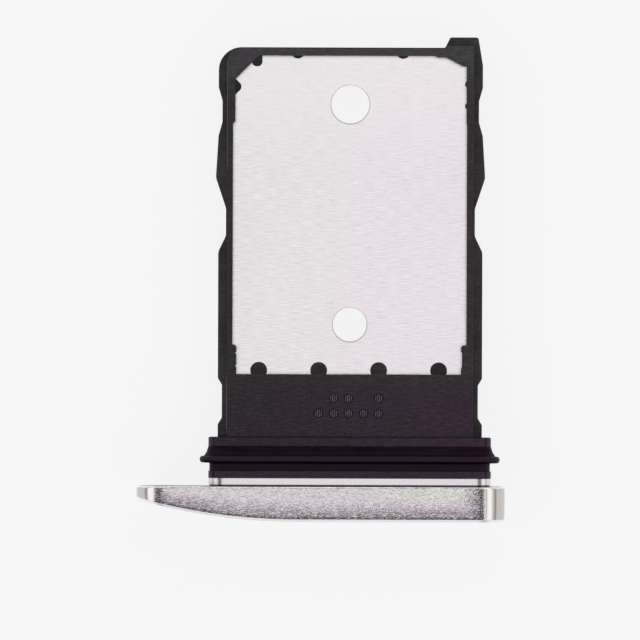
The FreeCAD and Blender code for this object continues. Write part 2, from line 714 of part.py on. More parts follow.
def build_tray_frame(doc, moulding, inserts):
    """The moulding with the room that its two metal inserts take up."""
    filling = doc.addObject("Part::MultiFuse", "inserts")
    filling.Shapes = inserts
    frame = doc.addObject("Part::Cut", "tray_frame")
    frame.Label = "tray_frame"
    frame.Base = moulding
    frame.Tool = filling
    doc.recompute()
    return frame


def build_seal_ring(doc):
    """Rubber ring with a rounded sealing lip, seated in the groove between the flanges."""
    body = doc.addObject("PartDesign::Body", "seal_ring")
    body.Label = "seal_ring"
    top = "neck_height / 2"
    floor = f"{top} - groove_depth"
    lip_near = "seal_near + blade_inset"
    profile = (
        ("seal_near", floor),
        ("seal_far", floor),
        ("seal_far", top),
        (f"{lip_near} + blade_thickness", f"{top} + seal_slope"),
        (f"{lip_near} + blade_thickness", f"{top} + blade_reach", "blade_round"),
        (lip_near, f"{top} + blade_reach", "blade_round"),
        (lip_near, f"{top} - seal_sink"),
        ("seal_near", f"{top} - seal_sink"),
    )
    flat = f"(neck_half - {top})"

    run = sketch_on(body, "YZ_Plane", "seal_profile")
    add_outline(run, profile)
    top_run = pad(body, run, "seal_top_run", f"2 * {flat}")
    top_run.Midplane = True
    doc.recompute()

    for name, level, backwards in (("right", flat, False), ("left", f"-{flat}", True)):
        section = sketch_on(body, "YZ_Plane", f"seal_{name}_profile", level)
        add_outline(section, profile)
        turn = body.newObject("PartDesign::Revolution", f"seal_{name}_end")
        turn.Profile = section
        turn.ReferenceAxis = (section, ["H_Axis"])
        turn.Angle = 180
        turn.Reversed = backwards
        doc.recompute()

    mirror = body.newObject("PartDesign::Mirrored", "seal_bottom_run")
    mirror.Originals = [top_run]
    mirror.MirrorPlane = (origin_plane(body, "XY_Plane"), [""])
    body.Tip = mirror
    doc.recompute()
    return body


def check_document(doc):
    """Stop at an object that failed to recompute."""
    for item in doc.Objects:
        if "Invalid" in item.State or "Error" in item.State:
            raise RuntimeError(f"{item.Name} failed: {item.State}")


def write_parts(parts):
    """Check each sub-part's shape and write it to its own file."""
    os.makedirs("parts", exist_ok=True)
    for part in parts:
        shape = part.Shape
        if shape.isNull() or not shape.isValid() or len(shape.Solids) != 1:
            raise RuntimeError(f"{part.Label} is not one valid solid")
        box = shape.optimalBoundingBox()
        print(
            f"{part.Label}: {shape.Volume:.3f} mm3, {len(shape.Faces)} faces, "
            f"X {box.XMin:.2f} to {box.XMax:.2f}, Y {box.YMin:.2f} to {box.YMax:.2f}, "
            f"Z {box.ZMin:.2f} to {box.ZMax:.2f}"
        )
        shape.exportStep(os.path.join("parts", f"{part.Label}.step"))


def main():
    """Build the tray's four pieces and write them."""
    doc = FreeCAD.newDocument("SimCardTray")
    make_sheet(doc)
    end_cap = build_end_cap(doc)
    card_plate = build_card_plate(doc)
    moulding = build_moulding(doc)
    tray_frame = build_tray_frame(doc, moulding, [end_cap, card_plate])
    seal_ring = build_seal_ring(doc)
    doc.recompute()
    check_document(doc)
    write_parts([end_cap, card_plate, tray_frame, seal_ring])


main()
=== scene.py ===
"""Looks of a phone's SIM card tray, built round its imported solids.

The tray lies with its card side up. X runs along the end cap, Y runs from the cap into the
phone and Z points up. Classes hold their sizes in millimetres, and meshes are turned into
metres as the last step of their making.
"""

import logging
import math
from collections.abc import Callable, Iterable, Sequence
from dataclasses import dataclass
from enum import Enum, IntEnum

import bmesh
import bpy
from mathutils import Matrix, Vector


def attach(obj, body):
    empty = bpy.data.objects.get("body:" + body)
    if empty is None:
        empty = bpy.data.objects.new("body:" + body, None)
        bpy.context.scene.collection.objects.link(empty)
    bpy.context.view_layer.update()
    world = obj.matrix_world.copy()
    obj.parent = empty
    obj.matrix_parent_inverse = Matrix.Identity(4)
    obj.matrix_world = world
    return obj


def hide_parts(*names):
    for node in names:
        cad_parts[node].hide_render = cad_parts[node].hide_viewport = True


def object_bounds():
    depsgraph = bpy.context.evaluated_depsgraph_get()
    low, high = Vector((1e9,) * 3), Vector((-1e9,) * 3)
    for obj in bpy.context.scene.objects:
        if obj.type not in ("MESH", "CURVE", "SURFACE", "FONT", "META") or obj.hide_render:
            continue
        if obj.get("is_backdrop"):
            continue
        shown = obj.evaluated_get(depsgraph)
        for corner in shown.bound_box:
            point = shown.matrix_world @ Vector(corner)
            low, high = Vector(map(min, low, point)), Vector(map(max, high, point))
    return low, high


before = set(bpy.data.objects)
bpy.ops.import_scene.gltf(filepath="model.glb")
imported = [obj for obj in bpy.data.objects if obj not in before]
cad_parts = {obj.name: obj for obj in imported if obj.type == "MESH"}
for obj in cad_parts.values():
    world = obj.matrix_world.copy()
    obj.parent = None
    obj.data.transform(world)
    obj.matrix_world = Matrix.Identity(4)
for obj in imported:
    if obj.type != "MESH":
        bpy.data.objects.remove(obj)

LOG = logging.getLogger("sim_card_tray")
MM = 0.001
HAIR = 0.001
BODY = "root"
FRONT_INSET = "front_inset"
NOISE_FALLOFF = 0.55
NOISE_SHIFT = (1.0, 1.7, 0.3)
Point = tuple[float, float]
Triple = tuple[float, float, float]
Colour = tuple[float, float, float]


class Slot(Enum):
    """Names of the tray's material slots."""

    ALUMINIUM = "anodised_aluminium"
    STEEL = "stainless_sheet"
    MOULDING = "black_moulding"
    RUBBER = "seal_rubber"


class Node(Enum):
    """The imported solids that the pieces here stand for."""

    END_CAP = "end_cap"
    PLATE = "card_plate"
    FRAME = "tray_frame"
    SEAL = "seal_ring"


class CapFinish(IntEnum):
    """The cap's finishes, in the order of its material slots."""

    GRAIN = 0
    SATIN = 1
    POLISHED = 2


# Node trees


class Tree:
    """A node tree, with one call that adds any node."""

    def __init__(self, tree: bpy.types.NodeTree) -> None:
        """Wrap a tree and empty it."""
        self.tree = tree
        tree.nodes.clear()

    def add(self, kind: str, settings: dict | None = None, values: dict | None = None) -> bpy.types.Node:
        """Add a node, set its options first, and then the values or links of its sockets.

        Args:
            kind: The node's type.
            settings: Options of the node, such as a Math node's operation, or a ramp's stops as
                pairs of place and level.
            values: Socket values, or fields or sockets to link, by the socket's identifier or name.

        Returns:
            The node.
        """
        node = self.tree.nodes.new(kind)
        for name, value in (settings or {}).items():
            if name != "stops":
                setattr(node, name, value)
                continue
            stops = node.color_ramp.elements
            while len(stops) < len(value):
                stops.new(0.5)
            for stop, (place, level) in zip(stops, value):
                stop.position = place
                stop.color = (level, level, level, 1.0)
        for key, value in (values or {}).items():
            socket = next((s for s in node.inputs if s.identifier == key), None) or node.inputs[key]
            source = getattr(value, "socket", value)
            if isinstance(source, bpy.types.NodeSocket):
                self.tree.links.new(source, socket)
            else:
                socket.default_value = source
        return node

    def field(self, kind: str, settings: dict | None = None, values: dict | None = None) -> "Field":
        """Add a node, as add does, and take its first output."""
        return Field(self, self.add(kind, settings, values).outputs[0])

    def mix(self, factor: "Field", first: "Colour | Field", second: "Colour | Field") -> "Field":
        """Blend two colours.

        Args:
            factor: The share of the second.
            first: The colour where the factor is 0.
            second: The colour where the factor is 1.

        Returns:
            The blended colour.
        """
        pair = [item if isinstance(item, Field) else (*item, 1.0) for item in (first, second)]
        values = {"Factor_Float": factor, "A_Color": pair[0], "B_Color": pair[1]}
        node = self.add("ShaderNodeMix", {"data_type": "RGBA"}, values)
        return Field(self, next(s for s in node.outputs if s.identifier == "Result_Color"))


class Field:
    """What a node gives out. Python's operators on it add Math nodes."""

    def __init__(self, tree: Tree, socket: bpy.types.NodeSocket) -> None:
        """Wrap an output socket of a tree."""
        self.tree = tree
        self.socket = socket

    def math(self, operation: str, first: "Field | float", second: "Field | float" = 0.0) -> "Field":
        """Add a Math node and take its result."""
        values = {"Value": first, "Value_001": second}
        return self.tree.field("ShaderNodeMath", {"operation": operation}, values)

    def __add__(self, other: "Field | float") -> "Field":
        """Sum."""
        return self.math("ADD", self, other)

    __radd__ = __add__

    def __sub__(self, other: "Field | float") -> "Field":
        """Difference."""
        return self.math("SUBTRACT", self, other)

    def __rsub__(self, other: "Field | float") -> "Field":
        """Reflected difference."""
        return self.math("SUBTRACT", other, self)

    def __mul__(self, other: "Field | float") -> "Field":
        """Product."""
        return self.math("MULTIPLY", self, other)

    __rmul__ = __mul__

    def root(self) -> "Field":
        """The square root."""
        return self.math("SQRT", self)

    def most(self, other: "Field | float") -> "Field":
        """The larger of two values."""
        return self.math("MAXIMUM", self, other)

    def least(self, other: "Field | float") -> "Field":
        """The smaller of two values."""
        return self.math("MINIMUM", self, other)

    def above(self, level: float, blur: float) -> "Field":
        """A soft mask of where the value passes a level, blurred that far to either side."""
        values = {"Value": self, "From Min": level - blur, "From Max": level + blur}
        return self.tree.field("ShaderNodeMapRange", {"interpolation_type": "SMOOTHSTEP"}, values)

    def below(self, level: float, blur: float) -> "Field":
        """A soft mask of where the value stays under a level."""
        return 1 - self.above(level, blur)

    def within(self, low: float, high: float, blur: float) -> "Field":
        """A soft mask of where the value lies between two levels."""
        return self.above(low, blur) * self.below(high, blur)


@dataclass(frozen=True)
class Touch:
    """How a finish shines and feels.

    Its roughness is gloss where the grain is 0, and gloss_spread more where it is 1. A height of
    1 stands for depth in millimetres, and strength is the share of it that shows.
    """

    gloss: float
    gloss_spread: float
    depth: float
    strength: float
    metallic: float = 0.0
    specular: float = 0.5


class Shader(Tree):
    """A material's node tree, with the few calls that the finishes need."""

    def __init__(self, name: str) -> None:
        """Make an empty material.

        Args:
            name: The material's name.
        """
        self.material = bpy.data.materials.new(name)
        self.material.use_nodes = True
        super().__init__(self.material.node_tree)
        self.place = self.add("ShaderNodeTexCoord").outputs["Object"]

    def along(self, axis: str) -> Field:
        """The place on one axis, in millimetres."""
        split = self.add("ShaderNodeSeparateXYZ", None, {"Vector": self.place})
        return Field(self, split.outputs[axis]) * (1 / MM)

    def painted(self, name: str) -> Field:
        """The values of a mesh attribute."""
        return Field(self, self.add("ShaderNodeAttribute", {"attribute_name": name}).outputs["Fac"])

    def noise(self, grain: Triple, detail: float = 2.0, seed: float = 0.0) -> Field:
        """Noise whose grain has its own size on each axis.

        Args:
            grain: Size of a grain on X, Y and Z, in millimetres.
            detail: Octaves of finer noise.
            seed: Shift of the pattern.

        Returns:
            The noise, about 0.5 on average.
        """
        scale = tuple(1 / (size * MM) for size in grain)
        shift = tuple(seed * share for share in NOISE_SHIFT)
        values = {"Vector": self.place, "Scale": scale, "Location": shift}
        mapping = self.field("ShaderNodeMapping", {"vector_type": "POINT"}, values)
        values = {"Vector": mapping, "Scale": 1.0, "Detail": detail, "Roughness": NOISE_FALLOFF}
        return self.field("ShaderNodeTexNoise", {"noise_dimensions": "3D"}, values)

    def layers(self, base: "Colour | Field", *layers: tuple[Field, "Colour | Field"]) -> Field:
        """Lay tones over a base, one after the other.

        Args:
            base: The colour below them.
            layers: Pairs of a mask and the tone that shows where the mask is 1.

        Returns:
            The colour with all its layers.
        """
        for mask, tone in layers:
            base = self.mix(mask, base, tone)
        return base

    def surface(
        self, touch: Touch, colour: Field, grain: Field, height: Field, metallic: Field | None = None
    ) -> bpy.types.Material:
        """Close the tree with a Principled shader.

        Args:
            touch: The finish's shine and depth.
            colour: Its colour.
            grain: What its roughness follows, from 0 to 1.
            height: What its bumps follow, from 0 to 1.
            metallic: How metallic it is, where that varies.

        Returns:
            The material.
        """
        values = {"Height": height, "Distance": touch.depth * MM, "Strength": touch.strength}
        values = {
            "Base Color": colour,
            "Metallic": touch.metallic if metallic is None else metallic,
            "Specular IOR Level": touch.specular,
            "Roughness": touch.gloss + grain * touch.gloss_spread,
            "Normal": self.field("ShaderNodeBump", None, values),
        }
        shader = self.field("ShaderNodeBsdfPrincipled", None, values)
        self.add("ShaderNodeOutputMaterial", None, {"Surface": shader})
        return self.material


class Geometry(Tree):
    """A Geometry Nodes tree with named inputs, run once on a mesh."""

    def __init__(self, name: str, sizes: dict[str, float]) -> None:
        """Make an empty tree.

        Args:
            name: The tree's name.
            sizes: Named inputs and their values. An int makes a whole-number input.
        """
        super().__init__(bpy.data.node_groups.new(name, "GeometryNodeTree"))
        face = self.tree.interface
        for way in ("INPUT", "OUTPUT"):
            face.new_socket("Geometry", in_out=way, socket_type="NodeSocketGeometry")
        self.sizes = sizes
        self.keys: dict[str, str] = {}
        for label, value in sizes.items():
            kind = "NodeSocketInt" if isinstance(value, int) else "NodeSocketFloat"
            self.keys[label] = face.new_socket(label, in_out="INPUT", socket_type=kind).identifier
        self.start = self.add("NodeGroupInput")

    def named(self, label: str) -> Field:
        """A named input, or the geometry that the tree starts from."""
        return Field(self, self.start.outputs[label])

    def run(self, piece: bpy.types.Object, shape: Field, material: bpy.types.Material) -> None:
        """Close the tree, run it on a piece and leave a plain mesh.

        Args:
            piece: The object whose mesh the tree starts from.
            shape: The finished geometry.
            material: What its faces are made of.
        """
        real = self.field("GeometryNodeRealizeInstances", None, {"Geometry": shape})
        dressed = self.field("GeometryNodeSetMaterial", None, {"Geometry": real, "Material": material})
        self.add("NodeGroupOutput", None, {"Geometry": dressed})
        modifier = piece.modifiers.new("shape", "NODES")
        modifier.node_group = self.tree
        for label, value in self.sizes.items():
            modifier[self.keys[label]] = value
        settle(piece)


# Meshes


def new_piece(name: str, mesh: bpy.types.Mesh) -> bpy.types.Object:
    """Put a mesh into the scene as an object at the origin.

    Args:
        name: The object's name.
        mesh: Its mesh.

    Returns:
        The object.
    """
    piece = bpy.data.objects.new(name, mesh)
    bpy.context.scene.collection.objects.link(piece)
    return piece


def mesh_of(
    name: str, points: Sequence[Sequence[float]], edges: Sequence = (), faces: Sequence = ()
) -> bpy.types.Mesh:
    """Make a mesh from lists.

    Args:
        name: The mesh's name.
        points: Its vertices, in millimetres.
        edges: Pairs of vertex numbers.
        faces: Rings of vertex numbers.

    Returns:
        The mesh.
    """
    mesh = bpy.data.meshes.new(name)
    mesh.from_pydata([tuple(point) for point in points], list(edges), list(faces))
    return mesh


def to_mesh(shape: bmesh.types.BMesh, mesh: bpy.types.Mesh) -> bpy.types.Mesh:
    """Write an edited shape to a mesh and let the shape go.

    Args:
        shape: The shape, which can't be used after this.
        mesh: The mesh that takes it.

    Returns:
        The same mesh.
    """
    shape.to_mesh(mesh)
    shape.free()
    return mesh


def settle(piece: bpy.types.Object) -> None:
    """Replace a piece's mesh by what its modifiers make of it, and remove them.

    Args:
        piece: The piece.
    """
    graph = bpy.context.evaluated_depsgraph_get()
    graph.update()
    made = bpy.data.meshes.new_from_object(piece.evaluated_get(graph))
    piece.modifiers.clear()
    piece.data = made


def modify(piece: bpy.types.Object, kind: str, settings: dict) -> None:
    """Run one modifier on a piece.

    Args:
        piece: The piece.
        kind: The modifier's type.
        settings: Its options.
    """
    modifier = piece.modifiers.new(kind.lower(), kind)
    for name, value in settings.items():
        setattr(modifier, name, value)
    settle(piece)


def cut_by(piece: bpy.types.Object, tool: bpy.types.Mesh, operation: str = "DIFFERENCE") -> None:
    """Cut a piece by another mesh, or join it on.

    Args:
        piece: The piece.
        tool: The other mesh.
        operation: The Boolean modifier's operation.
    """
    other = new_piece("tool", tool)
    modify(piece, "BOOLEAN", {"operation": operation, "solver": "EXACT", "object": other})
    bpy.data.objects.remove(other)


def finish_piece(
    piece: bpy.types.Object, node: Node | None = None, crease: float = 25.0
) -> bpy.types.Object:
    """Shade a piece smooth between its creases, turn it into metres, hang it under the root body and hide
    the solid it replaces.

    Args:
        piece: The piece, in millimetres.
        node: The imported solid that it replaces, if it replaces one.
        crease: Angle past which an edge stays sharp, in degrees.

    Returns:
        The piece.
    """
    piece.data.shade_smooth()
    piece.data.set_sharp_from_angle(angle=math.radians(crease))
    modify(piece, "WEIGHTED_NORMAL", {"mode": "FACE_AREA", "weight": 50, "keep_sharp": True})
    piece.data.transform(Matrix.Scale(MM, 4))
    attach(piece, BODY)
    if node:
        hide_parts(node.value)
    return piece


def close_up(shape: bmesh.types.BMesh, distance: float) -> None:
    """Merge the points of a closed shape that nearly touch, and turn its faces outwards.

    Args:
        shape: The shape.
        distance: How near two points lie that become one.
    """
    bmesh.ops.remove_doubles(shape, verts=shape.verts, dist=distance)
    bmesh.ops.dissolve_degenerate(shape, edges=shape.edges, dist=distance)
    bmesh.ops.recalc_face_normals(shape, faces=shape.faces)


def weld(piece: bpy.types.Object) -> None:
    """Close up a piece's mesh after its cuts or its sweep.

    Args:
        piece: The piece.
    """
    shape = bmesh.new()
    shape.from_mesh(piece.data)
    close_up(shape, HAIR)
    to_mesh(shape, piece.data)


def rings_to_mesh(name: str, rings: Sequence[Sequence[Vector]]) -> bpy.types.Mesh:
    """Skin closed rings that have the same number of points.

    Args:
        name: The mesh's name.
        rings: The rings, from one end to the other.

    Returns:
        The mesh, with doubled points merged and its faces turned outwards.
    """
    shape = bmesh.new()
    loops = [[shape.verts.new(point) for point in ring] for ring in rings]
    for low, high in zip(loops, loops[1:]):
        for i in range(len(low)):
            j = (i + 1) % len(low)
            shape.faces.new((low[i], low[j], high[j], high[i]))
    close_up(shape, HAIR / 100)
    return to_mesh(shape, bpy.data.meshes.new(name))


def circle(radius: float, steps: int) -> list[Point]:
    """Points on a circle round the origin."""
    angles = (2 * math.pi * step / steps for step in range(steps))
    return [(radius * math.cos(angle), radius * math.sin(angle)) for angle in angles]


def turned(
    name: str, profile: Sequence[Point], centre: Vector, axis: Vector, steps: int
) -> bpy.types.Mesh:
    """Turn a profile round an axis.

    Args:
        name: The mesh's name.
        profile: Distances from the axis and along it, starting and ending on the axis.
        centre: Where the distance along the axis is 0.
        axis: The axis.
        steps: Segments of a full turn.

    Returns:
        The turned mesh.
    """
    spin = axis.normalized().to_track_quat("Z", "X").to_matrix()
    rings = [
        [centre + spin @ Vector((x, y, level)) for x, y in circle(radius, steps)]
        for radius, level in profile
    ]
    return rings_to_mesh(name, rings)


def rounded(corners: Sequence[Triple], steps: int = 5) -> list[Point]:
    """Round the corners of a closed outline.

    Args:
        corners: The two coordinates and the rounding radius of each corner.
        steps: Segments of each rounding.

    Returns:
        The points of the rounded outline.
    """
    points: list[Point] = []
    count = len(corners)
    for i, (x, y, radius) in enumerate(corners):
        here = Vector((x, y))
        if radius == 0:
            points.append((x, y))
            continue
        back = (Vector(corners[i - 1][:2]) - here).normalized()
        ahead = (Vector(corners[(i + 1) % count][:2]) - here).normalized()
        half = back.angle(ahead) / 2
        centre = here + (back + ahead).normalized() * (radius / math.sin(half))
        start = here + back * (radius / math.tan(half)) - centre
        end = here + ahead * (radius / math.tan(half)) - centre
        for step in range(steps + 1):
            way = start.normalized().slerp(end.normalized(), step / steps) * radius
            points.append((centre.x + way.x, centre.y + way.y))
    return points


@dataclass(frozen=True)
class Stadium:
    """Two half circles joined by straight runs, in the XZ plane."""

    left: float
    right: float
    half_height: float
    run_steps: int = 96
    arc_steps: int = 48

    def outline(self, inset: float = 0.0) -> list[Point]:
        """Points of the outline, moved inwards.

        Args:
            inset: How far it is moved.

        Returns:
            X and Z of each point, starting at the right end of the top run.
        """
        low, high = self.left + self.half_height, self.right - self.half_height
        radius = self.half_height - inset
        points = []
        for here, there, start in ((high, low, math.pi / 2), (low, high, -math.pi / 2)):
            level = math.copysign(radius, start)
            run = there - here
            points += [(here + run * i / self.run_steps, level) for i in range(self.run_steps)]
            for i in range(self.arc_steps):
                angle = start + math.pi * i / self.arc_steps
                points.append((there + radius * math.cos(angle), radius * math.sin(angle)))
        return points

    def drawn_in(self, inset_at: Callable[[float], float]) -> list[Point]:
        """Points of the outline, moved inwards by an amount that changes along X.

        Args:
            inset_at: How far the outline is moved in at a place on X.

        Returns:
            X and Z of each point, in the order of the outline's own points.
        """
        low, high = self.left + self.half_height, self.right - self.half_height
        points = []
        for x, z in self.outline():
            middle = min(max(x, low), high)
            share = 1 - inset_at(x) / self.half_height
            points.append((middle + (x - middle) * share, z * share))
        return points


# Finishes


@dataclass(frozen=True)
class BlastedAluminium:
    """Champagne anodised aluminium with a fine blasted grain that runs lightly along the cap."""

    left_tone: Colour = (0.635, 0.610, 0.610)
    right_tone: Colour = (0.660, 0.655, 0.625)
    violet_tone: Colour = (0.660, 0.585, 0.640)
    front_tone: Colour = (0.60, 0.515, 0.590)
    painted_dark_reflection_tone: Colour = (0.21, 0.160, 0.205)
    end_tone: Colour = (0.595, 0.555, 0.530)
    painted_end_highlight_tone: Colour = (0.79, 0.765, 0.745)
    line_tone: Colour = (0.97, 0.945, 0.940)
    pit_tone: Colour = (0.10, 0.090, 0.095)
    peak_tone: Colour = (0.93, 0.91, 0.92)
    grain: Triple = (0.150, 0.031, 0.031)
    fine_grain: Triple = (0.075, 0.0186, 0.0186)
    drift_grain: Triple = (2.2, 1.2, 1.2)
    left_end: float = -7.66
    right_end: float = 5.28
    left_band: float = 0.60
    right_band: float = 1.00
    left_painted_highlight: Point = (-7.90, -7.66)
    right_painted_highlight: Point = (5.28, 5.56)
    painted_back_highlight: Point = (-0.064, -0.028)
    right_start: float = 2.2
    violet_run: Point = (-3.4, 1.2)
    touch: Touch = Touch(0.10, 0.08, 0.020, 0.9, metallic=1.0)

    def material(self) -> bpy.types.Material:
        """Build the finish's node tree.

        Returns:
            The material.
        """
        shader = Shader("blasted_aluminium")
        drift = shader.noise(self.drift_grain, 1.0, 3.0) * 0.5
        speckle = shader.noise(self.grain) * 0.55 + shader.noise(self.fine_grain, 1.0, 7.0) * 0.45
        along = shader.along("X")
        waved = along + drift * 4
        inset = shader.painted(FRONT_INSET)
        # The grain gets coarser towards the outer face and both round ends, which are smooth.
        by_right = along.above(self.right_end - self.right_band / 2, self.right_band / 2)
        by_left = along.below(self.left_end + self.left_band / 2, self.left_band / 2)
        by_end = by_right.most(by_left)
        rough = by_end.most(inset.below(0.45, 0.45) * 0.8)
        smooth = along.above(self.right_end, 0.06) + along.below(self.left_end, 0.05)
        blasted = 1 - smooth.least(1.0)
        violet = (inset + drift).below(1.12, 0.25).most(waved.within(*self.violet_run, 1.4) * 0.7)
        broad = shader.layers(
            self.left_tone,
            (waved.above(self.right_start, 1.6), self.right_tone),
            (violet, self.violet_tone),
            (inset.below(0.48, 0.22) * blasted, self.front_tone),
            # Painted dark reflection: a dark band just behind the front chamfer, where the falling edge
            # would mirror a dark gap.
            (inset.below(0.20, 0.07) * blasted, self.painted_dark_reflection_tone),
        )
        # Painted highlight: a pale band across each round end, where it would mirror the side lamps.
        shine = along.within(*self.left_painted_highlight, 0.03).most(along.within(*self.right_painted_highlight, 0.04))
        colour = shader.layers(
            shader.mix(shine, self.end_tone, self.painted_end_highlight_tone),
            (blasted, broad),
            (speckle.below(0.458, 0.040) * (rough * 0.60 + by_end * 0.20 + 0.30) * blasted, self.pit_tone),
            (speckle.above(0.560, 0.040) * (rough * 0.65 + 0.35) * blasted, self.peak_tone),
            # Painted highlight: a pale line along the back edge.
            (shader.along("Y").within(*self.painted_back_highlight, 0.008), self.line_tone),
        )
        height = speckle * blasted * (rough * 0.6 + 0.4)
        return shader.surface(self.touch, colour, speckle * blasted, height)


@dataclass(frozen=True)
class SatinAluminium:
    """The same anodised metal, smooth and satin on the outer face and finely grained on the neck."""

    face_tone: Colour = (0.83, 0.740, 0.785)
    face_cool_tone: Colour = (0.81, 0.775, 0.785)
    neck_tone: Colour = (0.81, 0.750, 0.785)
    pore_tone: Colour = (0.60, 0.56, 0.58)
    painted_groove_shade_tone: Colour = (0.085, 0.070, 0.062)
    painted_gap_shade_tone: Colour = (0.015, 0.010, 0.014)
    groove: Point = (-0.01, 0.056)
    gap_shade_start: float = 0.302
    touch: Touch = Touch(0.22, 0.08, 0.0015, 0.5, metallic=1.0)

    def material(self) -> bpy.types.Material:
        """Build the finish's node tree.

        Returns:
            The material.
        """
        shader = Shader("satin_aluminium")
        grain = shader.noise((0.07, 0.035, 0.035), 2.0, 17.0)
        drift = shader.noise((2.5, 1.2, 1.2), 1.0, 19.0)
        along = shader.along("Y")
        on_neck = along.above(self.groove[0], 0.01)
        # Painted shade: the neck's end is dark and not metallic, standing in for the shaded gap where it
        # enters the moulding.
        painted_gap_shade = along.above(self.gap_shade_start, 0.006)
        colour = shader.layers(
            self.face_tone,
            (drift.above(0.5, 0.25), self.face_cool_tone),
            (on_neck, self.neck_tone),
            (grain.below(0.42, 0.09) * (on_neck * 0.35 + 0.06), self.pore_tone),
            # Painted shade: a dark band in the relief groove at the neck's root.
            (along.within(*self.groove, 0.006), self.painted_groove_shade_tone),
            (painted_gap_shade, self.painted_gap_shade_tone),
        )
        return shader.surface(self.touch, colour, grain, grain, 1 - painted_gap_shade)


@dataclass(frozen=True)
class PolishedAluminium:
    """The bright cut chamfer round the outer face and round the pinhole's mouth."""

    tone: Colour = (0.91, 0.885, 0.905)
    line_tone: Colour = (0.75, 0.725, 0.745)
    touch: Touch = Touch(0.12, 0.14, 0.002, 0.3, metallic=1.0)

    def material(self) -> bpy.types.Material:
        """Build the finish's node tree.

        Returns:
            The material.
        """
        shader = Shader("polished_aluminium")
        lines = shader.noise((0.9, 0.02, 0.02), 2.0, 5.0)
        colour = shader.mix(lines.above(0.35, 0.2), self.line_tone, self.tone)
        return shader.surface(self.touch, colour, lines, lines)


@dataclass(frozen=True)
class BrushedSteel:
    """Thin stainless sheet, brushed along X."""

    tone: Colour = (0.785, 0.730, 0.765)
    warm_tone: Colour = (0.825, 0.745, 0.800)
    cool_tone: Colour = (0.775, 0.765, 0.755)
    far_tone: Colour = (0.850, 0.815, 0.825)
    scratch_tone: Colour = (0.56, 0.515, 0.545)
    bright_tone: Colour = (0.93, 0.91, 0.93)
    painted_hole_shade_tone: Colour = (0.26, 0.235, 0.225)
    lines: Triple = (0.80, 0.032, 0.032)
    scratches: Triple = (0.48, 0.0256, 0.032)
    far_start: float = 14.0
    holes: tuple[Triple, ...] = ((-0.015, 14.96, 0.75), (-0.015, 6.32, 0.665))
    painted_hole_ring: Point = (-0.02, 0.035)
    touch: Touch = Touch(0.17, 0.12, 0.0015, 0.35, metallic=1.0)

    def material(self) -> bpy.types.Material:
        """Build the finish's node tree.

        Returns:
            The material.
        """
        shader = Shader("brushed_steel")
        lines = shader.noise(self.lines)
        scratches = shader.noise(self.scratches, 1.0, 11.0)
        drift = shader.noise((3.5, 5.0, 3.0), 1.0, 2.0)
        across, along = shader.along("X"), shader.along("Y")
        far = along.above(self.far_start, 2.2)
        # The brushing is fainter towards the far end.
        strength = 1 - far * 0.5
        colour = shader.layers(
            self.cool_tone,
            ((across + drift * 3).above(1.3, 2.2), self.warm_tone),
            (drift.above(0.5, 0.25) * 0.4, self.tone),
            (far * 0.7, self.far_tone),
            (lines.below(0.42, 0.10) * 0.27 * strength, self.scratch_tone),
            (scratches.above(0.60, 0.09) * 0.50 * strength, self.bright_tone),
            (scratches.below(0.37, 0.06) * 0.38 * strength, self.scratch_tone),
        )
        # Painted shade: a dark ring round the edge of each finger hole, standing in for its shaded wall.
        for x, y, radius in self.holes:
            aside, ahead = across - x, along - y
            distance = (aside * aside + ahead * ahead).root()
            painted_hole_ring = (distance - radius).within(*self.painted_hole_ring, 0.008) * (lines * 0.5 + 0.25)
            colour = shader.mix(painted_hole_ring, colour, self.painted_hole_shade_tone)
        return shader.surface(self.touch, colour, lines, lines)


@dataclass(frozen=True)
class PaintedHighlightLine:
    """A thin pale line painted along an edge as a painted highlight."""

    across: Point
    along: Point
    least_level: float


